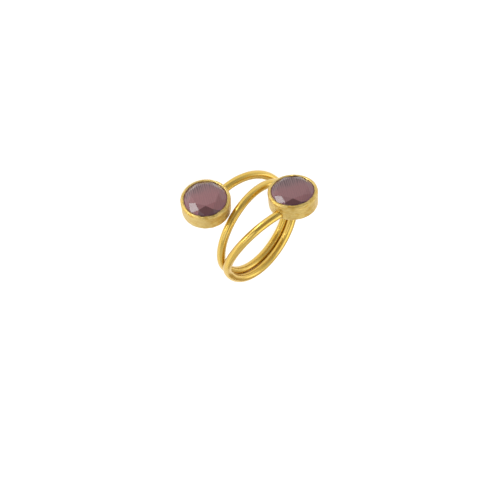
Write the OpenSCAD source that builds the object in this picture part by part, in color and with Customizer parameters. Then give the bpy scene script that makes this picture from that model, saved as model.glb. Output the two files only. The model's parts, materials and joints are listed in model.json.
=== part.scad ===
// Adjustable ring: one round wire coiled twice round the finger, with a round
// cup soldered to each end and a faceted glass stone set in each cup.
// The ring lies on its side, as it comes to rest by itself. The origin is the
// middle of its box at floor height, and the cups face -Y.

/* [Wire] */
// Inner diameter of the coil, across the finger hole
finger_d = 17.05; // [16:0.05:18.5]
// Diameter of the round wire
wire_d = 1.55; // [1.4:0.05:1.6]
// Hairline gap between the two turns behind the finger
turn_gap = 0.08; // [0.04:0.02:0.2]
// Climb of the upper end along the finger, from the middle of the coil
upper_climb = 6.6; // [6:0.1:7.6]
// Drop of the lower end along the finger, from the middle of the coil
lower_drop = 5.2; // [5.2:0.1:6.4]
// Depth by which the lower turn is pressed in where the middle strand joins it
turn_dip = 0.85; // [0:0.05:1]

/* [Turns] */
// Angle round the finger at which the wire starts, beside the upper cup
start_angle = 99.4; // [97:0.1:103]
// Angle at which the upper strand has come down to the upper turn
upper_from = 205.1; // [198:0.1:212]
// Angle at which the upper turn ends and the middle strand leaves it
upper_to = 335.6; // [331:0.1:341]
// Angle at which the middle strand has come down to the lower turn
lower_from = 574.1; // [568:0.1:580]
// Angle at which the lower turn ends and the lower strand leaves it
lower_to = 689.9; // [685:0.1:697]
// Angle at which the wire ends, beside the lower cup
end_angle = 832.8; // [829:0.1:836]

/* [Cups] */
// Outer diameter of each cup, halfway up its wall
cup_d = 8.75; // [8.2:0.05:8.9]
// How much wider the cup's wall is at the rim than at the foot
cup_flare = 0.15; // [0:0.05:0.4]
// Height of each cup, from its bottom to its rim
cup_h = 3.3; // [3:0.05:3.6]
// Thickness of the cup's wall
cup_wall = 0.45; // [0.35:0.05:0.55]
// Width of the lip that the rim is pressed in over the stone
lip_w = 0.17; // [0.12:0.01:0.25]
// Thickness of the lip at its edge
lip_t = 0.08; // [0.06:0.01:0.14]

/* [Stones] */
// Width of the upper stone's table, as a share of the stone
upper_table = 0.7; // [0.62:0.01:0.74]
// Slope of the upper stone's eight main facets
upper_slope = 37; // [32:1:40]
// Width of the lower stone's table, as a share of the stone
lower_table = 0.625; // [0.55:0.005:0.68]
// Slope of the lower stone's eight main facets
lower_slope = 44; // [38:1:45]
// Free play between a stone and its cup
stone_gap = 0.03; // [0.025:0.005:0.06]

/* [Hidden] */
gold = [0.82, 0.64, 0.33];
glass_red = [0.50, 0.40, 0.42];

// Round parts of the cups, and the wire's sides and steps
$fn = 96;
wire_sides = 16;
wire_steps = 184;
arc_steps = 5;

// The coil's own frame has Z along the finger and the cups towards +Y
coil_r = (finger_d + wire_d) / 2;
turn_z = (wire_d + turn_gap) / 2;

// How the end strands climb: gently off the turn, then ever faster
climb_power = 1.18;
climb_bulge = 0.235;
climb_ease = 0.15;

// How the middle strand crosses over the top of the finger, and eases off the turns
middle_sag = 0.295;
middle_sway = 0.46;
middle_ease = 0.08;

// Where the lower turn is pressed in, and over what angle
dip_angle = 595;
dip_width = 47;

// How the cups sit: lean across and along the finger, and swivel about the wire's end
upper_lean = [-1.8, -3.4];
lower_lean = [-9.2, 4.3];
upper_swivel = 21.7;
lower_swivel = 9.5;

// The wire runs into the cup's wall just above the bottom
wire_h = 0.9;
wire_bite = 0.3;
wire_root = 0.3;

// The cup's rounded edges, floor and inside, where the wall is thicker below the stone
cup_r = cup_d / 2;
foot_r = cup_r - cup_flare / 4;
rim_r = cup_r + cup_flare / 4;
foot_round = 0.5;
rim_round = 0.4;
lip_edge = 0.03;
floor_t = 0.5;
seat_w = 0.35;
inner_r = cup_r - cup_wall;
seat_r = inner_r - seat_w;
lip_r = inner_r - lip_w;

// Every stone has eight main facets above its girdle and eight below
mains = 8;
main_step = 360 / mains;

// Crowns, as [table radius, radius of the corners between main facets, height, turn in the cup]
stone_r = inner_r - stone_gap;
upper_corner = 0.905;
lower_corner = 0.808;
upper_turn = 171.9;
lower_turn = -2.4;
upper_crown = crown(upper_table, upper_corner, upper_slope, upper_turn);
lower_crown = crown(lower_table, lower_corner, lower_slope, lower_turn);
function crown(table, corner, slope, turn) =
    [table * stone_r, corner * stone_r, (1 - table) * stone_r * tan(slope), turn];

// Height above the girdle of the corners between main facets, which keeps those facets flat
function corner_h(flat_r, corner_r, h) = h * (stone_r - corner_r * cos(main_step / 2)) / (stone_r - flat_r);
function edge_slope(crown) = corner_h(crown[0], crown[1], crown[2]) / (stone_r - crown[1]);

// The girdle lies under the lip, and the stone's blunt point just above the floor
girdle_t = 0.14;
culet_r = 0.3;
culet_gap = 0.15;
back_corner = 0.57;
lip_slope = max(edge_slope(upper_crown), edge_slope(lower_crown));
girdle_top = cup_h - lip_t - stone_gap - (stone_r - lip_r) * lip_slope;
girdle_mid = girdle_top - girdle_t / 2;
back_h = girdle_top - girdle_t - floor_t - culet_gap;
back_slope = back_h / (stone_r - culet_r);
seat_gap = 0.16;

function unit(v) = v / norm(v);

// Share of the climb at u, from 0 where a strand leaves its turn to 1 at its end
function eased(u) = pow(u * u + climb_ease * climb_ease, climb_power / 2) - pow(climb_ease, climb_power);
function climb(u) = eased(u) / eased(1) * (1 + climb_bulge * (1 - u * u));

// Height of the middle strand at w, from 0 at the upper turn to 1 at the lower
function softened(w) = 1 - exp(-pow(min(w, 1 - w) / middle_ease, 2));
function crossing(w) =
    turn_z * cos(180 * w) - softened(w) * (middle_sag * pow(sin(180 * w), 2) + middle_sway * sin(360 * w));

// Height of the wire's centre along the finger at angle a round it, before the wire is pressed in
function wire_z(a) =
    a < upper_from ? turn_z + (upper_climb - turn_z) * climb((upper_from - a) / (upper_from - start_angle)) :
    a < upper_to ? turn_z :
    a < lower_from ? crossing((a - upper_to) / (lower_from - upper_to)) :
    a < lower_to ? -turn_z :
    -turn_z - (lower_drop - turn_z) * climb((a - lower_to) / (end_angle - lower_to));

// Depth by which the wire is pressed in at angle a. There it also moves up to the upper turn,
// so that the two turns still lie together.
function dip(a) = turn_dip * exp(-pow((a - dip_angle) / dip_width, 2));
function moved_up(a) = 2 * turn_z - sqrt(pow(2 * turn_z, 2) - pow(dip(a), 2));

// The wire's centre at angle a
function wire_at(a) =
    let (r = coil_r - dip(a))
    [r * cos(a), r * sin(a), wire_z(a) + moved_up(a)];

// Directions in which the wire's two ends point, over a small step of the angle
dir_step = 0.5;
upper_dir = unit(wire_at(start_angle) - wire_at(start_angle + dir_step));
lower_dir = unit(wire_at(end_angle) - wire_at(end_angle - dir_step));

// A cup is placed by its bottom's middle, its axis and its direction from the wire
function leaning(lean) = unit([tan(lean[0]), 1, tan(lean[1])]);
function flattened(dir, axis) = unit(dir - (dir * axis) * axis);
function swivelled(dir, axis, angle) = cos(angle) * dir + sin(angle) * cross(axis, dir);
function placed(end, out, axis) = [end + (cup_r - wire_bite) * out - wire_h * axis, axis, out];
function cup_place(a, dir, lean, swivel) =
    let (axis = leaning(lean), out = swivelled(flattened(dir, axis), axis, swivel))
    placed(wire_at(a), out, axis);
upper_place = cup_place(start_angle, upper_dir, upper_lean, upper_swivel);
lower_place = cup_place(end_angle, lower_dir, lower_lean, lower_swivel);

// The wire's centre line, with a short root inside each cup's wall
path = [
    wire_at(start_angle) + wire_root * upper_place[2],
    for (i = [0 : wire_steps]) wire_at(start_angle + (end_angle - start_angle) * i / wire_steps),
    wire_at(end_angle) + wire_root * lower_place[2]
];
path_end = len(path) - 1;

// Points round the wire at step i of the path
function path_dir(i) = unit(path[min(i + 1, path_end)] - path[max(i - 1, 0)]);
function wire_ring(i) =
    let (
        along = path_dir(i),
        side = unit(cross(along, [path[i][0], path[i][1], 0])),
        out = cross(side, along)
    )
    [
        for (k = [0 : wire_sides - 1])
            let (a = 360 * k / wire_sides)
            path[i] + wire_d / 2 * (cos(a) * out + sin(a) * side)
    ];
wire_points = [for (i = [0 : path_end]) each wire_ring(i)];

// Points of a quarter arc in a cup's section, from one angle to another
function arc(centre, r, from, to) =
    [for (i = [0 : arc_steps]) let (a = from + (to - from) * i / arc_steps) centre + r * [cos(a), sin(a)]];

// Outside of a cup's section, as [radius, height], from the foot up to the lip
cup_outside = [
    each arc([foot_r - foot_round, foot_round], foot_round, -90, 0),
    each arc([rim_r - rim_round, cup_h - rim_round], rim_round, 0, 90),
    [lip_r + lip_edge, cup_h - lip_edge],
    [lip_r, cup_h - lip_t]
];

// Inside of a cup's section: under the lip, down the wall, over the sloped seat, then the floor
seat_top = girdle_top - girdle_t - seat_gap + (inner_r - stone_r) * back_slope;
cup_inside = [
    [inner_r, cup_h - lip_t - lip_w * lip_slope],
    [inner_r, seat_top],
    [seat_r, seat_top - seat_w * back_slope],
    [seat_r, floor_t],
    [0, floor_t]
];

// Corners of half a stone: round its flat, between the main facets, and twice as many on the girdle
first_corner = mains;
first_girdle = 2 * mains;
girdle_count = 2 * mains;
half_count = first_girdle + girdle_count;
function half_stone(flat_r, corner_r, h, side) = [
    for (k = [0 : mains - 1])
        let (a = main_step * k)
        [flat_r * cos(a), flat_r * sin(a), side * (h + girdle_t / 2)],
    for (k = [0 : mains - 1])
        let (a = main_step * (k + 1 / 2))
        [corner_r * cos(a), corner_r * sin(a), side * (corner_h(flat_r, corner_r, h) + girdle_t / 2)],
    for (k = [0 : girdle_count - 1])
        let (a = main_step * k / 2)
        [stone_r * cos(a), stone_r * sin(a), side * girdle_t / 2]
];

// Facets of half a stone: its flat, the stars, the mains, and two small facets by the girdle for each main
function flat_at(k) = k % mains;
function corner_at(k) = first_corner + (k + mains) % mains;
function girdle_at(k) = first_girdle + k % girdle_count;
half_facets = [
    [for (k = [mains - 1 : -1 : 0]) k],
    for (k = [0 : mains - 1]) [flat_at(k), flat_at(k + 1), corner_at(k)],
    for (k = [0 : mains - 1]) [flat_at(k), corner_at(k), girdle_at(2 * k), corner_at(k - 1)],
    for (k = [0 : mains - 1]) [corner_at(k), girdle_at(2 * k + 1), girdle_at(2 * k)],
    for (k = [0 : mains - 1]) [corner_at(k), girdle_at(2 * k + 2), girdle_at(2 * k + 1)]
];
function reversed(f) = [for (i = [len(f) - 1 : -1 : 0]) f[i]];

// The ring comes to rest on the lower cup, the lower turn and the lower strand
function lowest(points, up) = let (h = [for (p = points) p * up]) points[search(min(h), h)[0]];
function cup_low(place, up) =
    [for (q = cup_outside) place[0] + q[1] * place[1] - q[0] * flattened(up, place[1])];
function wire_part(from, to) =
    [for (i = [1 : path_end - 1]) if (angle_of(i) > from && angle_of(i) <= to) each wire_ring(i)];
function angle_of(i) = start_angle + (end_angle - start_angle) * (i - 1) / wire_steps;
turn_points = wire_part(lower_from, lower_to);
strand_points = wire_part(lower_to, end_angle);
function rest_plane(a, b, c, up) = let (n = unit(cross(b - a, c - a))) n * up < 0 ? -n : n;
function cup_rest(up) = lowest(cup_low(lower_place, up), up);
function settled(up, rounds) =
    rounds == 0 ? up :
    settled(rest_plane(cup_rest(up), lowest(turn_points, up), lowest(strand_points, up), up), rounds - 1);
settle_rounds = 8;
up = settled([0, 0, 1], settle_rounds);

// Directions of the lying ring in the coil's frame, its box, and the shift that centres it
back = -flattened([0, 1, 0], up);
right = cross(back, up);
function wire_reach(dir) = max([for (p = wire_points) p * dir]);
function cup_reach(place, dir) =
    max([for (q = cup_outside) place[0] * dir + q[1] * place[1] * dir + q[0] * norm(cross(place[1], dir))]);
function table_reach(place, crown, dir) =
    (place[0] + (girdle_top + crown[2]) * place[1]) * dir + crown[0] * norm(cross(place[1], dir));
function reach(dir) = max(
    wire_reach(dir),
    cup_reach(upper_place, dir),
    cup_reach(lower_place, dir),
    table_reach(upper_place, upper_crown, dir),
    table_reach(lower_place, lower_crown, dir)
);
function middle(dir) = (reach(dir) - reach(-dir)) / 2;

// Turns the coil's frame over to the floor
module lay_down() {
    multmatrix([
        [right[0], right[1], right[2], -middle(right)],
        [back[0], back[1], back[2], -middle(back)],
        [up[0], up[1], up[2], reach(-up)]
    ])
        children();
}

// Puts a cup or stone made on the Z axis at its place on the coil
module on_coil(place) {
    side = cross(place[1], place[2]);
    multmatrix([for (i = [0 : 2]) [place[2][i], side[i], place[1][i], place[0][i]]])
        children();
}

// The coiled wire, one closed tube
module wire() {
    last = path_end * wire_sides;
    polyhedron(
        points = wire_points,
        faces = [
            [for (k = [0 : wire_sides - 1]) k],
            for (i = [0 : path_end - 1], k = [0 : wire_sides - 1])
                let (p = i * wire_sides + k, q = i * wire_sides + (k + 1) % wire_sides)
                each [[p, p + wire_sides, q], [q, p + wire_sides, q + wire_sides]],
            [for (k = [wire_sides - 1 : -1 : 0]) last + k]
        ]
    );
}

// One round cup, closed below
module cup() {
    rotate_extrude()
        polygon([[0, 0], each cup_outside, each cup_inside]);
}

// One stone: a crown with a flat table above the girdle, and a blunt point below
module stone(crown) {
    front_half = half_stone(crown[0], crown[1], crown[2], 1);
    back_half = half_stone(culet_r, back_corner * stone_r, back_h, -1);
    translate([0, 0, girdle_mid])
        rotate(crown[3])
            polyhedron(
                points = concat(front_half, back_half),
                faces = [
                    each half_facets,
                    for (f = half_facets) [for (v = reversed(f)) v + half_count],
                    for (k = [0 : girdle_count - 1])
                        let (a = girdle_at(k), b = girdle_at(k + 1))
                        [a, b, half_count + b, half_count + a]
                ]
            );
}

// The wire and both cups are soldered into one piece
module band() {
    color(gold)
        lay_down()
            union() {
                wire();
                on_coil(upper_place) cup();
                on_coil(lower_place) cup();
            }
}

module upper_stone() {
    color(glass_red)
        lay_down()
            on_coil(upper_place) stone(upper_crown);
}

module lower_stone() {
    color(glass_red)
        lay_down()
            on_coil(lower_place) stone(lower_crown);
}

band();
upper_stone();
lower_stone();
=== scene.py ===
import json
from math import atan2, cos, exp, pi, radians, sin, sqrt, tan

import bpy
import numpy as np
from mathutils import Matrix, Vector


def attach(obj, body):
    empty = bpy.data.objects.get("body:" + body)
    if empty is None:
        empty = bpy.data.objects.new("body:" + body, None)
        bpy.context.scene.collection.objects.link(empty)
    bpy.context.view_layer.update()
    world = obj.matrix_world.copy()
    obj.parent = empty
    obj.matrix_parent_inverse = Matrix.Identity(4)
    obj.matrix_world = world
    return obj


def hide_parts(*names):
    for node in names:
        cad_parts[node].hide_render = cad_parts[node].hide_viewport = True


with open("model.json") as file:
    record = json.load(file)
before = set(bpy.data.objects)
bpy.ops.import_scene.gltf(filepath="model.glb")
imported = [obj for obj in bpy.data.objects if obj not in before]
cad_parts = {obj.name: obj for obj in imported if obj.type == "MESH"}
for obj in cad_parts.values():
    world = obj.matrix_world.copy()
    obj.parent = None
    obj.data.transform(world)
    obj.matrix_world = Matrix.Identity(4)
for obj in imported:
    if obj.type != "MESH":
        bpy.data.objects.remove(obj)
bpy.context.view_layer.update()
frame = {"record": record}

# Sizes of the construction, in millimetres and degrees, as in the part's source. Only TURN_Z is
# 0.03 mm less than there, so that the crevice between the two turns is dark.
MM = 0.001
WIRE_R = 0.775
COIL_R = 9.3
TURN_Z = 0.785
UPPER_CLIMB, LOWER_DROP = 6.6, 5.2
START, UPPER_FROM, UPPER_TO = 99.4, 205.1, 335.6
LOWER_FROM, LOWER_TO, END = 574.1, 689.9, 832.8
CLIMB_POWER, CLIMB_BULGE, CLIMB_EASE = 1.18, 0.235, 0.15
MIDDLE_SAG, MIDDLE_SWAY, MIDDLE_EASE = 0.295, 0.46, 0.08
DIP, DIP_ANGLE, DIP_WIDTH = 0.85, 595, 47
UPPER_LEAN, LOWER_LEAN = (-1.8, -3.4), (-9.2, 4.3)
UPPER_SWIVEL, LOWER_SWIVEL = 21.7, 9.5
WIRE_H, WIRE_BITE, WIRE_ROOT = 0.9, 0.3, 0.3
CUP_R, CUP_H, INNER_R, LIP_R, LIP_T = 4.375, 3.3, 3.925, 3.755, 0.08
FOOT_ROUND, RIM_ROUND, FLOOR_T, SEAT_W = 0.5, 0.4, 0.5, 0.35
CUP_FLARE = 0.15
STONE_R, GIRDLE_T, CULET_R, CULET_GAP, STONE_GAP = 3.895, 0.14, 0.3, 0.15, 0.03
SEAT_DROP = 0.16
BACK_CORNER_R = 0.57 * STONE_R
UPPER_CUT = {"table": 0.7, "corner": 0.905, "slope": 37, "turn": 171.9}
LOWER_CUT = {"table": 0.625, "corner": 0.808, "slope": 44, "turn": -2.4}

# The burnished bevel along the lip's edge, wider than the chamfer in the part's source
LIP_BEVEL = 0.13

# The camera of the photograph, fitted to the coil: its swing round the finger and rise
# towards the cups, its distance, and the point of the coil in the middle of the picture
SWING, RISE, DISTANCE = 48.58, 44.506, 395.73
MIDDLE_RIGHT, MIDDLE_UP = -1.2253, -3.5711
PICTURE_PX, FOCAL_PX = 500, 2220.2
SENSOR = 36.0

# Linear colours
GOLD_PALE = (0.68, 0.474, 0.115, 1)
GOLD_MID = (0.68, 0.440, 0.060, 1)
CUP_PALE = (0.71, 0.530, 0.176, 1)
CUP_MID = (0.62, 0.416, 0.100, 1)
CUP_DEEP = (0.60, 0.370, 0.062, 1)
# Rose that is partly a painted sheen, the band of light of cat's-eye glass
STONE_ROSE_AND_SHEEN = (0.262, 0.124, 0.130, 1)
STONE_GREY = (0.205, 0.138, 0.140, 1)
STONE_DARK = (0.098, 0.062, 0.067, 1)
# Violet that is a painted shade along the lip, where it meets the stone
STONE_VIOLET_LIP_SHADE = (0.250, 0.122, 0.170, 1)
FLOOR_WHITE = (0.35, 0.35, 0.35, 1)
FLAG_BLACK = (0.01, 0.01, 0.01, 1)
ROOM_WHITE = (1, 1, 1, 1)
ROOM_BROWN = (0.52, 0.36, 0.15, 1)
ROOM_DIM = (0.62, 0.62, 0.65, 1)


# The coil's own frame: the finger's axis is its Z, and the cups lie towards its +Y
def coil_frame():
    mount = frame["record"]["mounts"][0]
    along = np.array(mount["axis"])
    towards = np.array([0, -along[2], along[1]]) / sqrt(along[1] ** 2 + along[2] ** 2)
    return np.stack([np.cross(towards, along), towards, along]), np.array(mount["pos_m"]) / MM


AXES, ORIGIN = coil_frame()


def laid(points):
    """Points or one point of the coil's frame, in mm, as they lie on the floor."""
    return np.asarray(points) @ AXES + ORIGIN


def laid_direction(direction):
    return np.asarray(direction) @ AXES


def unit(v):
    v = np.asarray(v, float)
    return v / np.linalg.norm(v)


def picture_axes():
    """Right, up and back of the photograph's camera, in the coil's frame."""
    swing, rise = radians(SWING), radians(RISE)
    right = np.array([cos(swing), 0, sin(swing)])
    up = np.array([sin(rise) * sin(swing), cos(rise), -sin(rise) * cos(swing)])
    return right, up, np.cross(right, up)


PICTURE_RIGHT, PICTURE_UP, TO_CAMERA = picture_axes()


def eased(u):
    return (u * u + CLIMB_EASE**2) ** (CLIMB_POWER / 2) - CLIMB_EASE**CLIMB_POWER


def climb(u):
    """Share of the way from a turn to its cup, where u runs from 0 to 1."""
    return eased(u) / eased(1) * (1 + CLIMB_BULGE * (1 - u * u))


def wire_at(a):
    """The wire's centre at angle a round the finger, by the laws of the part's source."""
    if a < UPPER_FROM:
        z = TURN_Z + (UPPER_CLIMB - TURN_Z) * climb((UPPER_FROM - a) / (UPPER_FROM - START))
    elif a < UPPER_TO:
        z = TURN_Z
    elif a < LOWER_FROM:
        w = (a - UPPER_TO) / (LOWER_FROM - UPPER_TO)
        softened = 1 - exp(-((min(w, 1 - w) / MIDDLE_EASE) ** 2))
        sag = MIDDLE_SAG * sin(pi * w) ** 2 + MIDDLE_SWAY * sin(2 * pi * w)
        z = TURN_Z * cos(pi * w) - softened * sag
    elif a < LOWER_TO:
        z = -TURN_Z
    else:
        z = -TURN_Z - (LOWER_DROP - TURN_Z) * climb((a - LOWER_TO) / (END - LOWER_TO))
    dip = DIP * exp(-(((a - DIP_ANGLE) / DIP_WIDTH) ** 2))
    hug = 2 * TURN_Z - sqrt((2 * TURN_Z) ** 2 - dip**2)
    r = COIL_R - dip
    return np.array([r * cos(radians(a)), r * sin(radians(a)), z + hug])


def cup_place(a, step, lean, swivel):
    """A cup's bottom middle, and its frame: away from the wire, sideways, and its axis."""
    axis = unit([tan(radians(lean[0])), 1, tan(radians(lean[1]))])
    out = wire_at(a) - wire_at(a + step)
    out = unit(out - (out @ axis) * axis)
    out = cos(radians(swivel)) * out + sin(radians(swivel)) * np.cross(axis, out)
    middle = wire_at(a) + (CUP_R - WIRE_BITE) * out - WIRE_H * axis
    side = np.cross(axis, out)
    return {"middle": middle, "out": out, "side": side, "axis": axis, "end": wire_at(a)}


UPPER = cup_place(START, 0.5, UPPER_LEAN, UPPER_SWIVEL)
LOWER = cup_place(END, -0.5, LOWER_LEAN, LOWER_SWIVEL)


def from_cup(place, points):
    """Points of a cup's frame as they lie on the floor."""
    points = np.asarray(points)
    return laid(points @ np.stack([place["out"], place["side"], place["axis"]]) + place["middle"])


# Heights in the cup, which follow from the two cuts
def crown(cut):
    flat_r, corner_r = cut["table"] * STONE_R, cut["corner"] * STONE_R
    return flat_r, corner_r, (STONE_R - flat_r) * tan(radians(cut["slope"]))


def corner_height(flat_r, corner_r, height):
    return height * (STONE_R - corner_r * cos(pi / 8)) / (STONE_R - flat_r)


def edge_slope(cut):
    flat_r, corner_r, height = crown(cut)
    return corner_height(flat_r, corner_r, height) / (STONE_R - corner_r)


def crown_rise(cut, radius, turn):
    """Height of a stone's crown above its girdle, at a radius and at angles round the cup."""
    flat_r, corner_r, height = crown(cut)
    corner_h = corner_height(flat_r, corner_r, height)
    star_r = flat_r * cos(pi / 8)
    girdle_r = STONE_R * cos(pi / 16)
    main_steep = height / (STONE_R - flat_r)
    star_steep = (height - corner_h) / (corner_r - star_r)
    small_steep = corner_h / (girdle_r - corner_r * cos(pi / 16))
    # Each plane: its direction, the radius at which it has its start height, its steepness, that height
    planes = []
    for k in range(8):
        main = k * pi / 4
        planes.append((main, STONE_R, main_steep, 0))
        planes.append((main + pi / 8, star_r, star_steep, height))
        for small in (main + pi / 16, main + 3 * pi / 16):
            planes.append((small, girdle_r, small_steep, 0))
    own = turn - radians(cut["turn"])
    heights = [base + (start - radius * np.cos(own - at)) * steep for at, start, steep, base in planes]
    return np.min(heights, axis=0)


LIP_SLOPE = max(edge_slope(UPPER_CUT), edge_slope(LOWER_CUT))
GIRDLE_TOP = CUP_H - LIP_T - STONE_GAP - (STONE_R - LIP_R) * LIP_SLOPE
BACK_H = GIRDLE_TOP - GIRDLE_T - FLOOR_T - CULET_GAP
BACK_SLOPE = BACK_H / (STONE_R - CULET_R)
SEAT_TOP = GIRDLE_TOP - GIRDLE_T - SEAT_DROP + (INNER_R - STONE_R) * BACK_SLOPE


# Meshes
def mesh_object(name, points, faces, grain, material):
    """An object from points in mm on the floor. Grain is each point's place for its texture."""
    mesh = bpy.data.meshes.new(name)
    mesh.from_pydata((np.asarray(points) * MM).tolist(), [], faces)
    mesh.attributes.new("grain", "FLOAT_VECTOR", "POINT")
    mesh.attributes["grain"].data.foreach_set("vector", np.asarray(grain, np.float32).ravel())
    mesh.materials.append(material)
    thing = bpy.data.objects.new(name, mesh)
    bpy.context.scene.collection.objects.link(thing)
    return thing


def grid_faces(rows, columns):
    """Quads between rows of points, each row closed round."""
    faces = []
    for row in range(rows - 1):
        low, high = row * columns, (row + 1) * columns
        for c in range(columns):
            after = (c + 1) % columns
            faces.append((low + c, low + after, high + after, high + c))
    return faces


def capped_tube(rows, columns):
    """Faces of a closed tube of such rows, with a flat face at each end."""
    first = list(range(columns - 1, -1, -1))
    last = [(rows - 1) * columns + c for c in range(columns)]
    return [first] + grid_faces(rows, columns) + [last]


def waves(rng, at, lowest, highest, size):
    """A smooth random wave round a circle, with harmonics from lowest to highest."""
    total = np.zeros_like(at, dtype=float)
    for k in range(lowest, highest + 1):
        total += rng.normal() / sqrt(k) * np.cos(k * at + rng.uniform(0, 2 * pi))
    return size * total / sqrt(sum(1 / k for k in range(lowest, highest + 1)))


def wire_piece(material):
    """The wire as one fine tube, with the slight waviness of wire that was bent by hand."""
    sides, steps = 40, 1100
    wear, wear_wave, flattening, most_wear = 0.008, 0.006, 0.006, 0.03
    rng = np.random.default_rng(11)
    angles = np.linspace(START, END, steps + 1)
    path = np.array(
        [wire_at(START) + WIRE_ROOT * UPPER["out"]]
        + [wire_at(a) for a in angles]
        + [wire_at(END) + WIRE_ROOT * LOWER["out"]]
    )
    run = np.concatenate([[0], np.cumsum(np.linalg.norm(np.diff(path, axis=0), axis=1))])
    along = np.gradient(path, run, axis=0)
    along /= np.linalg.norm(along, axis=1, keepdims=True)
    side = np.cross(along, path * [1, 1, 0])
    side /= np.linalg.norm(side, axis=1, keepdims=True)
    out = np.cross(side, along)
    turn = 2 * pi * np.arange(sides) / sides
    phase = 2 * pi * run / run[-1]
    thinner = wear + wear_wave * waves(rng, phase, 9, 46, 1)
    oval = flattening * waves(rng, phase, 5, 30, 1)
    oval_turn = waves(rng, phase, 2, 7, 1.5)
    points, grain = [], []
    for i in range(len(path)):
        flat = abs(oval[i]) * (1 + np.cos(2 * (turn - oval_turn[i])))
        r = (WIRE_R * (1 - np.clip(thinner[i], 0, most_wear) - flat))[:, None]
        points.append(path[i] + r * (np.cos(turn)[:, None] * out[i] + np.sin(turn)[:, None] * side[i]))
        section = [WIRE_R * np.cos(turn), WIRE_R * np.sin(turn), np.full(sides, run[i])]
        grain.append(np.stack(section, axis=1))
    faces = capped_tube(len(path), sides)
    return mesh_object("wire", laid(np.concatenate(points)), faces, np.concatenate(grain), material)


def arc(centre, r, first, last, steps):
    turn = np.radians(np.linspace(first, last, steps + 1))
    return [(centre[0] + r * cos(t), centre[1] + r * sin(t)) for t in turn]


def cup_section():
    """A cup's section as (radius, height, part), from its bottom's middle, out and up to the lip, then
    down the inside. The parts are bottom, wall, lip, and the hidden inside."""
    wall_rows, hub_r = 16, 0.5
    foot_r, rim_r = CUP_R - CUP_FLARE / 4, CUP_R + CUP_FLARE / 4
    foot = arc((foot_r - FOOT_ROUND, FOOT_ROUND), FOOT_ROUND, -90, 0, 9)
    # The rim is a quarter of an ellipse, from the wall to the bevel
    rim_w = rim_r - LIP_R - LIP_BEVEL
    rim = [(rim_r - rim_w * (1 - r), CUP_H - RIM_ROUND * (1 - h)) for r, h in arc((0, 0), 1, 0, 90, 12)]
    wall_r = np.linspace(foot_r, rim_r, wall_rows)[1:-1]
    wall_h = np.linspace(FOOT_ROUND, CUP_H - RIM_ROUND, wall_rows)[1:-1]
    bottom = [(r, 0, "bottom") for r in np.linspace(hub_r, foot_r - FOOT_ROUND, 8)[:-1]]
    outside = [(r, h, "wall") for r, h in foot + list(zip(wall_r, wall_h)) + rim]
    # The bevelled lip and its hidden underside: how far out from the lip's edge, and how far down
    lip = [(0.09, 0.015), (0.05, 0.045), (0.02, 0.08), (0, 0.12), (0.004, 1), (0.09, 1)]
    inside = [
        (INNER_R, CUP_H - LIP_T - (INNER_R - LIP_R) * LIP_SLOPE, "inside"),
        (INNER_R, SEAT_TOP, "inside"),
        (INNER_R - SEAT_W, SEAT_TOP - SEAT_W * BACK_SLOPE, "inside"),
        (INNER_R - SEAT_W, FLOOR_T, "inside"),
        (hub_r, FLOOR_T, "inside"),
    ]
    return bottom + outside + [(LIP_R + r, CUP_H - h, "lip") for r, h in lip] + inside


def cup_piece(name, place, cut, seed, burr, material):
    """A turned cup with a wall that was filed by hand. Its lip is burnished down on to the stone's
    facets, so its edge follows them. Burr is the width in degrees and reach in mm of a small bump of
    metal that lies on the stone at the top of the picture."""
    columns, touch = 320, 0.012
    broad_dent, small_dent, scratch, proud = 0.02, 0.018, 0.004, 0.01
    lip_wave, lip_dip = 0.026, 0.02
    rng = np.random.default_rng(seed)
    turn = 2 * pi * np.arange(columns) / columns
    section = cup_section()
    # Dents at four levels of the wall, from the foot to the rim
    dents = []
    for _ in range(4):
        broad = waves(rng, turn, 2, 6, broad_dent)
        dents.append(np.abs(broad + waves(rng, turn, 7, 26, small_dent)))
    lip_out = np.abs(waves(rng, turn, 2, 24, lip_wave))
    lip_sink = np.abs(waves(rng, turn, 2, 20, lip_dip))
    burr_at = atan2(PICTURE_UP @ place["side"], PICTURE_UP @ place["out"])
    away = (turn - burr_at + pi) % (2 * pi) - pi
    bump = burr[1] * np.exp(-((2 * away / radians(burr[0])) ** 2))
    points = []
    for r, h, part in section:
        rise = h / CUP_H
        height = np.full(columns, float(h))
        if part == "wall":
            rough = np.abs(waves(rng, turn, 20, 60, scratch))
            level = min(int(3 * rise), 2)
            share = (1 - cos(pi * (3 * rise - level))) / 2
            radius = r + proud - dents[level] * (1 - share) - dents[level + 1] * share - rough
        elif part == "lip":
            radius = r + lip_out - bump
            stone_top = GIRDLE_TOP + crown_rise(cut, radius, turn) + touch
            height = np.maximum(h - lip_sink + bump * LIP_SLOPE, stone_top)
        else:
            radius = np.full(columns, float(r))
        points.append(np.stack([radius * np.cos(turn), radius * np.sin(turn), height], axis=1))
    rows = len(section)
    low, high = rows * columns, rows * columns + 1
    last = (rows - 1) * columns
    points = np.concatenate(points + [[[0, 0, 0], [0, 0, FLOOR_T]]])
    faces = grid_faces(rows, columns)
    faces += [(low, (c + 1) % columns, c) for c in range(columns)]
    faces += [(high, last + c, last + (c + 1) % columns) for c in range(columns)]
    return mesh_object(name, from_cup(place, points), faces, points, material)


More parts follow.
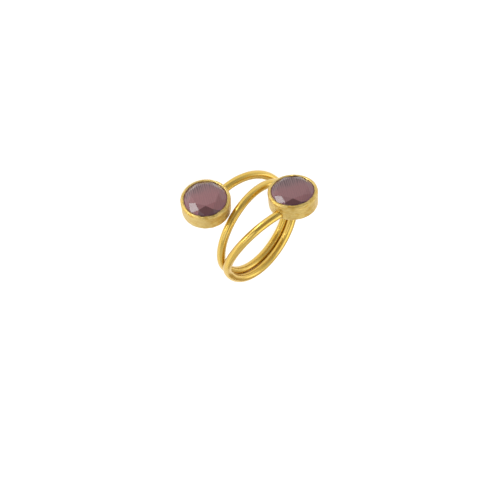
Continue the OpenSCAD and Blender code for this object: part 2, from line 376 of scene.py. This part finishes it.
def solder_piece(name, place, material):
    """A small fillet of solder where the wire enters the cup's wall, round the wire's direction."""
    sides, rows, reach = 40, 14, 0.4
    inset, swell, flare, flare_power = 0.03, 0.02, 0.07, 2.2
    rng = np.random.default_rng(5)
    turn = 2 * pi * np.arange(sides) / sides
    lumpy = 1 + waves(rng, turn, 1, 5, 0.12)
    along, across = place["out"], place["side"]
    upward = np.cross(along, across)
    points, grain = [], []
    for s in np.linspace(-reach, WIRE_ROOT * 0.8, rows):
        near = np.clip((s + reach) / reach, 0, 1.3)
        r = WIRE_R - inset + (swell + flare * near**flare_power) * lumpy
        ring = place["end"] + s * along + r[:, None] * (
            np.cos(turn)[:, None] * across + np.sin(turn)[:, None] * upward
        )
        points.append(ring)
        grain.append(np.stack([r * np.cos(turn), r * np.sin(turn), np.full(sides, s)], axis=1))
    faces = capped_tube(rows, sides)
    return mesh_object(name, laid(np.concatenate(points)), faces, np.concatenate(grain), material)


def fused(base, others):
    """One body of several closed meshes, as soldered metal is."""
    for other in others:
        cut = base.modifiers.new("solder", "BOOLEAN")
        cut.operation = "UNION"
        cut.solver = "MANIFOLD"
        cut.material_mode = "TRANSFER"
        cut.object = other
        with bpy.context.temp_override(object=base):
            bpy.ops.object.modifier_apply(modifier=cut.name)
        bpy.data.objects.remove(other)
    return base


def smoothed(thing, sharpest):
    """Smooth shading, but for edges sharper than an angle in degrees."""
    thing.data.shade_smooth()
    thing.data.set_sharp_from_angle(angle=radians(sharpest))


def corner_ring(count, r, z, first=0):
    """Points evenly round a circle at height z, from the angle first on."""
    turns = [2 * pi * k / count + first for k in range(count)]
    return [(r * cos(t), r * sin(t), z) for t in turns]


def half_stone(flat_r, corner_r, height, side):
    """Corners of half a stone: 8 round its flat, 8 between the main facets, 16 on the girdle."""
    flat = corner_ring(8, flat_r, side * (height + GIRDLE_T / 2))
    mid = side * (corner_height(flat_r, corner_r, height) + GIRDLE_T / 2)
    return flat + corner_ring(8, corner_r, mid, pi / 8) + corner_ring(16, STONE_R, side * GIRDLE_T / 2)


def half_facets():
    """Facets of half a stone as corner lists: flat, stars, mains, and small facets by the girdle."""
    flat = [list(range(8))]
    stars = [[k, 8 + k, (k + 1) % 8] for k in range(8)]
    mains = [[k, 8 + (k + 7) % 8, 16 + 2 * k, 8 + k] for k in range(8)]
    low = [[8 + k, 16 + 2 * k, 17 + 2 * k] for k in range(8)]
    high = [[8 + k, 17 + 2 * k, 16 + (2 * k + 2) % 16] for k in range(8)]
    return flat + stars + mains + low + high


# Where the facets of each kind start in the list of half_facets, after the table
STAR, MAIN, LOW, HIGH = 1, 9, 17, 25
# Depth of colour of the table and of the facets round the white and the dark one. The dark main
# facet and the small facets round it are painted shade. The small facet beside the white one is a
# little lighter, a painted highlight. The white facet's own colour is dimmed so that the light
# it mirrors looks white.
FACET_PAINTED_SHADE_AND_LIGHT = {
    0: 1,
    STAR: 0.88,
    MAIN: 0.7,
    MAIN + 1: 0.5,
    LOW: 1.05,
    LOW + 1: 0.45,
    HIGH: 0.45,
    HIGH + 1: 0.5,
}
TONE_SPREAD = 0.07
EDGE_ROUND, FLATTEST_EDGE = 0.022, 4


def stone_piece(name, place, cut, seed, material):
    """A faceted stone with finely rounded edges. Each facet has its own depth of colour, which a face
    attribute holds: a small random spread, with painted shade on the dark facets and a painted
    highlight on the small facet beside the white one."""
    flat_r, corner_r, height = crown(cut)
    corners = half_stone(flat_r, corner_r, height, 1) + half_stone(CULET_R, BACK_CORNER_R, BACK_H, -1)
    facets = half_facets()
    girdle = [[16 + k, 48 + k, 48 + (k + 1) % 16, 16 + (k + 1) % 16] for k in range(16)]
    faces = facets + [[v + 32 for v in f[::-1]] for f in facets] + girdle
    turn = radians(cut["turn"])
    spin = np.array([[cos(turn), sin(turn), 0], [-sin(turn), cos(turn), 0], [0, 0, 1]])
    points = np.array(corners) @ spin + [0, 0, GIRDLE_TOP - GIRDLE_T / 2]
    stone = mesh_object(name, from_cup(place, points), faces, points, material)
    rng = np.random.default_rng(seed)
    facet_tone_and_shade = stone.data.attributes.new("facet_tone_and_shade", "FLOAT", "FACE")
    tones_and_painted_shade = 1 + rng.uniform(-TONE_SPREAD, TONE_SPREAD, len(faces))
    # Painted shade on the dark facets and a painted highlight beside the white one, over the random
    # spread
    for facet, depth in FACET_PAINTED_SHADE_AND_LIGHT.items():
        tones_and_painted_shade[facet] = depth
    facet_tone_and_shade.data.foreach_set("value", tones_and_painted_shade.astype(np.float32))
    bevel = stone.modifiers.new("worn edges", "BEVEL")
    bevel.width = EDGE_ROUND * MM
    bevel.segments = 2
    bevel.limit_method = "ANGLE"
    bevel.angle_limit = radians(FLATTEST_EDGE)
    with bpy.context.temp_override(object=stone):
        bpy.ops.object.modifier_apply(modifier=bevel.name)
    return stone


# Materials
def new_material(name):
    material = bpy.data.materials.new(name)
    material.use_nodes = True
    tree = material.node_tree
    return material, tree, tree.nodes["Principled BSDF"]


def node(tree, kind, links=None, **settings):
    """A new node: links maps input names to sockets or values, settings are its own properties."""
    made = tree.nodes.new(kind)
    for key, value in settings.items():
        setattr(made, key, value)
    for key, value in (links or {}).items():
        if isinstance(value, bpy.types.NodeSocket):
            tree.links.new(value, made.inputs[key])
        else:
            made.inputs[key].default_value = value
    return made


def ramp(tree, value, stops):
    """A colour ramp of (place, colour) stops."""
    made = node(tree, "ShaderNodeValToRGB", {"Fac": value})
    elements = made.color_ramp.elements
    elements[0].position, elements[0].color = stops[0]
    elements[1].position, elements[1].color = stops[-1]
    for place, colour in stops[1:-1]:
        elements.new(place).color = colour
    return made.outputs["Color"]


def grain_noise(tree, scale, detail, roughness=0.5):
    """Noise in the grain attribute's coordinates, stretched by scale in turns per mm."""
    grain = node(tree, "ShaderNodeAttribute", attribute_name="grain").outputs["Vector"]
    scaled = node(tree, "ShaderNodeVectorMath", {0: grain, 1: scale}, operation="MULTIPLY")
    noise = node(
        tree,
        "ShaderNodeTexNoise",
        {"Vector": scaled.outputs["Vector"], "Scale": 1.0, "Detail": detail, "Roughness": roughness},
    )
    return noise.outputs["Fac"]


def arithmetic(tree, operation, a, b, c=None):
    values = {0: a, 1: b}
    if c is not None:
        values[2] = c
    return node(tree, "ShaderNodeMath", values, operation=operation).outputs["Value"]


def mapped(tree, value, low, high, to_low, to_high):
    made = node(
        tree,
        "ShaderNodeMapRange",
        {"Value": value, "From Min": low, "From Max": high, "To Min": to_low, "To Max": to_high},
        interpolation_type="SMOOTHSTEP",
    )
    return made.outputs["Result"]


def blended(tree, factor, a, b, kind):
    """A mix of two colours or two numbers, for which kind is RGBA or FLOAT."""
    made = node(tree, "ShaderNodeMix", {"Factor": factor, "A": a, "B": b}, data_type=kind)
    return made.outputs["Result"]


def along_direction(tree, place, direction):
    links = {0: place, 1: tuple(direction)}
    return node(tree, "ShaderNodeVectorMath", links, operation="DOT_PRODUCT").outputs["Value"]


def distance_from_axis(tree, grain):
    """How far a point of a cup's frame is from the cup's axis, in mm."""
    level = node(tree, "ShaderNodeVectorMath", {0: grain, 1: (1, 1, 0)}, operation="MULTIPLY")
    length = node(tree, "ShaderNodeVectorMath", {0: level.outputs["Vector"]}, operation="LENGTH")
    return length.outputs["Value"]


def soft_noise(tree, place, scale):
    links = {"Vector": place, "Scale": scale, "Detail": 2.0}
    return node(tree, "ShaderNodeTexNoise", links).outputs["Fac"]


def bumped(tree, shader, height, distance, strength):
    links = {"Height": height, "Distance": distance * MM, "Strength": strength}
    made = node(tree, "ShaderNodeBump", links)
    tree.links.new(made.outputs["Normal"], shader.inputs["Normal"])


def wire_gold():
    """Satin polished gold: faint polishing lines along the wire, and soft clouds where it is duller."""
    material, tree, shader = new_material("wire_gold")
    clouds = grain_noise(tree, (0.5, 0.5, 0.35), 3)
    lines = grain_noise(tree, (5, 5, 0.22), 4, 0.6)
    colour = ramp(tree, clouds, [(0.25, GOLD_MID), (0.75, GOLD_PALE)])
    tree.links.new(colour, shader.inputs["Base Color"])
    mixed = arithmetic(tree, "MULTIPLY_ADD", lines, 0.5, arithmetic(tree, "MULTIPLY", clouds, 0.5))
    tree.links.new(mapped(tree, mixed, 0.3, 0.7, 0.2, 0.32), shader.inputs["Roughness"])
    shader.inputs["Metallic"].default_value = 1
    shader.inputs["Coat Weight"].default_value = 0.25
    shader.inputs["Coat Roughness"].default_value = 0.1
    shader.inputs["Coat IOR"].default_value = 1.8
    relief = arithmetic(tree, "MULTIPLY_ADD", lines, 0.35, arithmetic(tree, "MULTIPLY", clouds, 0.25))
    bumped(tree, shader, relief, distance=0.014, strength=0.3)
    return material


def cup_gold():
    """Brushed gold: scratches round the cup and slanting ones, straight ones under it, and a smoother
    bright lip."""
    material, tree, shader = new_material("cup_gold")
    grain = node(tree, "ShaderNodeAttribute", attribute_name="grain").outputs["Vector"]
    height = node(tree, "ShaderNodeSeparateXYZ", {"Vector": grain}).outputs["Z"]
    radius = distance_from_axis(tree, grain)
    round_lines = grain_noise(tree, (0.5, 0.5, 4.5), 5, 0.75)
    straight_lines = grain_noise(tree, (0.3, 9, 0.5), 5, 0.7)
    slanting = grain_noise(tree, (1.1, 0.7, 3.0), 4, 0.7)
    patches = grain_noise(tree, (0.9, 0.9, 1.4), 3)
    gentle = arithmetic(tree, "MULTIPLY", round_lines, 0.4)
    on_wall = arithmetic(tree, "MULTIPLY_ADD", slanting, 0.6, gentle)
    below = mapped(tree, height, 0.02, 0.3, 1, 0)
    scratches = blended(tree, below, on_wall, straight_lines, "FLOAT")
    worn = arithmetic(tree, "MULTIPLY_ADD", patches, 0.35, arithmetic(tree, "MULTIPLY", scratches, 0.65))
    colour = ramp(tree, worn, [(0.41, CUP_DEEP), (0.46, CUP_MID), (0.53, CUP_PALE)])
    at_rim = mapped(tree, height, CUP_H - 0.3, CUP_H - 0.15, 0, 1)
    near_stone = mapped(tree, radius, LIP_R + 0.12, LIP_R + 0.34, 1, 0)
    on_lip = arithmetic(tree, "MULTIPLY", at_rim, near_stone)
    tree.links.new(blended(tree, on_lip, colour, CUP_PALE, "RGBA"), shader.inputs["Base Color"])
    shader.inputs["Metallic"].default_value = 1
    wall_rough = mapped(tree, patches, 0.3, 0.7, 0.34, 0.5)
    lip_rough = 0.27
    tree.links.new(blended(tree, on_lip, wall_rough, lip_rough, "FLOAT"), shader.inputs["Roughness"])
    shader.inputs["Coat Weight"].default_value = 0.2
    shader.inputs["Coat Roughness"].default_value = 0.3
    calmer = mapped(tree, on_lip, 0, 1, 1, 0.3)
    rough_relief = arithmetic(tree, "MULTIPLY_ADD", patches, 1.2, scratches)
    relief = arithmetic(tree, "MULTIPLY", rough_relief, calmer)
    bumped(tree, shader, relief, distance=0.2, strength=0.8)
    return material


def stone_glass(name, place):
    """Cat's-eye glass: rose in the middle, greyer with fine dark fibres towards the top of the
    picture, and violet by the lip. The rose middle is partly a painted sheen, the band of light of
    cat's-eye glass, and the violet by the lip is a painted shade. The fibres run as the photograph
    shows them on that stone."""
    material, tree, shader = new_material(name)
    fibre_lean, fibre_gap = radians(75), 0.37
    wander_across, wander_along, wander_depth = 1.7, 0.25, 9.0
    cloud_size, cloud_reach, slant = 0.45, 2.0, 0.12
    grey_end, rose_sheen_end, lip_shade_from, lip_shade_to = -1.9, 1.7, 3.3, 3.78
    down = cos(fibre_lean) * PICTURE_RIGHT - sin(fibre_lean) * PICTURE_UP
    axis = place["axis"]
    fibre = unit(down - (down @ axis) / (TO_CAMERA @ axis) * TO_CAMERA)
    across = np.cross(axis, fibre)
    cup_axes = np.stack([place["out"], place["side"], axis])
    grain = node(tree, "ShaderNodeAttribute", attribute_name="grain").outputs["Vector"]
    run = along_direction(tree, grain, cup_axes @ fibre)
    over = along_direction(tree, grain, cup_axes @ across)
    stretched = node(
        tree,
        "ShaderNodeCombineXYZ",
        {
            "X": arithmetic(tree, "MULTIPLY", over, wander_across),
            "Y": arithmetic(tree, "MULTIPLY", run, wander_along),
        },
    ).outputs["Vector"]
    wander = soft_noise(tree, stretched, 1.0)
    even = arithmetic(tree, "MULTIPLY", over, 2 * pi / fibre_gap)
    wavering = arithmetic(tree, "MULTIPLY_ADD", wander, wander_depth, even)
    comb = arithmetic(tree, "SINE", wavering, 0)
    fibres = arithmetic(tree, "MULTIPLY_ADD", comb, 0.5, wander)
    cloudy = soft_noise(tree, grain, cloud_size)
    clouded = arithmetic(tree, "MULTIPLY_ADD", cloudy, cloud_reach, run)
    slanted = arithmetic(tree, "MULTIPLY_ADD", over, slant, clouded)
    # Rose in the middle, partly a painted sheen for the band of light of cat's-eye glass, and greyer
    # towards the top
    top = mapped(tree, slanted, grey_end, rose_sheen_end, 1, 0)
    body = blended(tree, top, STONE_ROSE_AND_SHEEN, STONE_GREY, "RGBA")
    thread = mapped(tree, fibres, 0.0, 0.75, 1, 0)
    thread = arithmetic(tree, "MULTIPLY", thread, mapped(tree, top, 0.1, 0.9, 0.15, 1))
    lined = blended(tree, thread, body, STONE_DARK, "RGBA")
    # Violet near the lip: a painted shade where the lip meets the stone
    lip_shade = mapped(tree, distance_from_axis(tree, grain), lip_shade_from, lip_shade_to, 0, 0.9)
    lip_shaded = blended(tree, lip_shade, lined, STONE_VIOLET_LIP_SHADE, "RGBA")
    # Each facet's depth of colour, which carries the painted shade and highlight of the facets
    facet_tone_and_shade = node(tree, "ShaderNodeAttribute", attribute_name="facet_tone_and_shade").outputs["Fac"]
    toned = node(tree, "ShaderNodeVectorMath", {0: lip_shaded, "Scale": facet_tone_and_shade}, operation="SCALE")
    tree.links.new(toned.outputs["Vector"], shader.inputs["Base Color"])
    tree.links.new(mapped(tree, cloudy, 0.3, 0.7, 0.05, 0.1), shader.inputs["Roughness"])
    shader.inputs["IOR"].default_value = 1.45
    shader.inputs["Specular IOR Level"].default_value = 0.35
    return material


def floor_paint():
    """White floor that is lit from below, and a little more so to one side of the ring."""
    material, tree, shader = new_material("floor_paint")
    brighter_side, near, far = (0.95, -0.3, 0), 0.012, 0.06
    place = node(tree, "ShaderNodeTexCoord").outputs["Object"]
    mottle = soft_noise(tree, place, 40.0)
    shader.inputs["Base Color"].default_value = FLOOR_WHITE
    shader.inputs["Emission Color"].default_value = (1, 1, 1, 1)
    glow = mapped(tree, along_direction(tree, place, brighter_side), near, far, 0.85, 1.15)
    tree.links.new(glow, shader.inputs["Emission Strength"])
    tree.links.new(mapped(tree, mottle, 0.3, 0.7, 0.5, 0.6), shader.inputs["Roughness"])
    return material


# Studio
def square_sheet(name, half, material):
    """A flat square in its own XY plane, with half its side in metres."""
    corners = [(-half, -half, 0), (half, -half, 0), (half, half, 0), (-half, half, 0)]
    sheet = bpy.data.objects.new(name, bpy.data.meshes.new(name))
    sheet.data.from_pydata(corners, [], [(0, 1, 2, 3)])
    sheet.data.materials.append(material)
    bpy.context.scene.collection.objects.link(sheet)
    return sheet


def camera():
    made = bpy.data.objects.new("camera", bpy.data.cameras.new("camera"))
    bpy.context.scene.collection.objects.link(made)
    made.data.sensor_width = SENSOR
    made.data.lens = FOCAL_PX / PICTURE_PX * SENSOR
    made.data.clip_start = 0.01
    right, up, back = (Vector(laid_direction(d)) for d in (PICTURE_RIGHT, PICTURE_UP, TO_CAMERA))
    place = MIDDLE_RIGHT * PICTURE_RIGHT + MIDDLE_UP * PICTURE_UP + DISTANCE * TO_CAMERA
    turned = Matrix((right, up, back)).transposed().to_4x4()
    made.matrix_world = Matrix.Translation(Vector(laid(place)) * MM) @ turned
    bpy.context.scene.camera = made


def area_light(name, size, radiance):
    """A rectangular light that the camera doesn't see but the gold and the stones mirror."""
    energy_per_area = 4 * radiance
    light = bpy.data.lights.new(name, "AREA")
    light.shape = "RECTANGLE"
    light.size, light.size_y = size
    light.energy = energy_per_area * size[0] * size[1]
    made = bpy.data.objects.new(name, light)
    bpy.context.scene.collection.objects.link(made)
    made.visible_camera = False
    return made


def softbox(name, azimuth, elevation, distance, size, radiance):
    """A soft light on a sphere round the ring. Azimuth 0 is +X, 90 is +Y."""
    a, e = radians(azimuth), radians(elevation)
    away = Vector((cos(a) * cos(e), sin(a) * cos(e), sin(e)))
    light = area_light(name, size, radiance)
    light.location = away * distance
    light.rotation_euler = away.to_track_quat("Z", "Y").to_euler()


def mirrored_place(place, cut, facet, distance):
    """The place at a distance in mm that a stone's main facet mirrors to the camera, and how a sheet
    there is turned to face the facet."""
    flat_r, _, height = crown(cut)
    turn, slope = radians(cut["turn"] + 45 * facet), radians(cut["slope"])
    outward = cos(turn) * place["out"] + sin(turn) * place["side"]
    normal = sin(slope) * outward + cos(slope) * place["axis"]
    middle_r, middle_h = (flat_r + STONE_R) / 2, GIRDLE_TOP + height / 2
    middle = place["middle"] + middle_r * outward + middle_h * place["axis"]
    mirrored = 2 * (TO_CAMERA @ normal) * normal - TO_CAMERA
    turned = Vector(laid_direction(mirrored)).to_track_quat("Z", "Y").to_euler()
    return Vector(laid(middle + distance * mirrored)) * MM, turned


def glint(name, place, cut, distance):
    """A small lit card that a stone's first main facet mirrors, as in the photograph."""
    side, radiance = 6 * MM, 9.5
    light = area_light(name, (side, side), radiance)
    light.location, light.rotation_euler = mirrored_place(place, cut, 0, distance)


def flag(name, place, cut, distance):
    """A small black card that a stone's second main facet mirrors, which keeps that facet dark."""
    half = 4.5 * MM
    material, _, shader = new_material(name)
    shader.inputs["Base Color"].default_value = FLAG_BLACK
    card = square_sheet(name, half, material)
    card.location, card.rotation_euler = mirrored_place(place, cut, 1, distance)
    card.visible_camera = False


def room():
    """The room round the floor, as in a light tent: brown far behind the ring, white round it, dimmer
    on the side that the photograph was taken from, and brown in the middle of that side."""
    strength = 0.88
    world = bpy.data.worlds.new("studio")
    bpy.context.scene.world = world
    world.use_nodes = True
    tree = world.node_tree
    direction = node(tree, "ShaderNodeTexCoord").outputs["Generated"]
    facing = along_direction(tree, direction, laid_direction(TO_CAMERA))
    place = arithmetic(tree, "MULTIPLY_ADD", facing, 0.5, 0.5)
    stops = [
        (0.2, ROOM_BROWN),
        (0.38, ROOM_WHITE),
        (0.62, ROOM_WHITE),
        (0.82, ROOM_DIM),
        (0.980, ROOM_DIM),
        (0.992, ROOM_BROWN),
    ]
    background = tree.nodes["Background"]
    tree.links.new(ramp(tree, place, stops), background.inputs["Color"])
    background.inputs["Strength"].default_value = strength


def studio():
    floor = square_sheet("floor", half=1.5, material=floor_paint())
    softbox("overhead", azimuth=120, elevation=68, distance=0.5, size=(0.4, 0.4), radiance=0.85)
    softbox("left", azimuth=-10, elevation=35, distance=0.5, size=(0.3, 0.25), radiance=0.85)
    softbox("right", azimuth=172, elevation=22, distance=0.5, size=(0.25, 0.2), radiance=0.85)
    glint("upper_glint", UPPER, UPPER_CUT, distance=30)
    glint("lower_glint", LOWER, LOWER_CUT, distance=40)
    flag("upper_flag", UPPER, UPPER_CUT, distance=30)
    flag("lower_flag", LOWER, LOWER_CUT, distance=30)
    room()
    bpy.context.scene.view_settings.view_transform = "Standard"


# The ring
def ring():
    satin, brushed = wire_gold(), cup_gold()
    band = wire_piece(satin)
    band.name = "ring_band"
    parts = [
        cup_piece("upper_cup", UPPER, UPPER_CUT, seed=21, burr=(20, 0.2), material=brushed),
        cup_piece("lower_cup", LOWER, LOWER_CUT, seed=34, burr=(12, 0.03), material=brushed),
        solder_piece("upper_solder", UPPER, satin),
        solder_piece("lower_solder", LOWER, satin),
    ]
    fused(band, parts)
    smoothed(band, sharpest=50)
    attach(band, "root")
    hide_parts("band")
    for name, place, cut, seed in (
        ("upper_stone", UPPER, UPPER_CUT, 3),
        ("lower_stone", LOWER, LOWER_CUT, 4),
    ):
        glass = stone_glass(name, place)
        stone = stone_piece(name.replace("stone", "gem"), place, cut, seed, glass)
        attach(stone, "root")
        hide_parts(name)


camera()
studio()
ring()
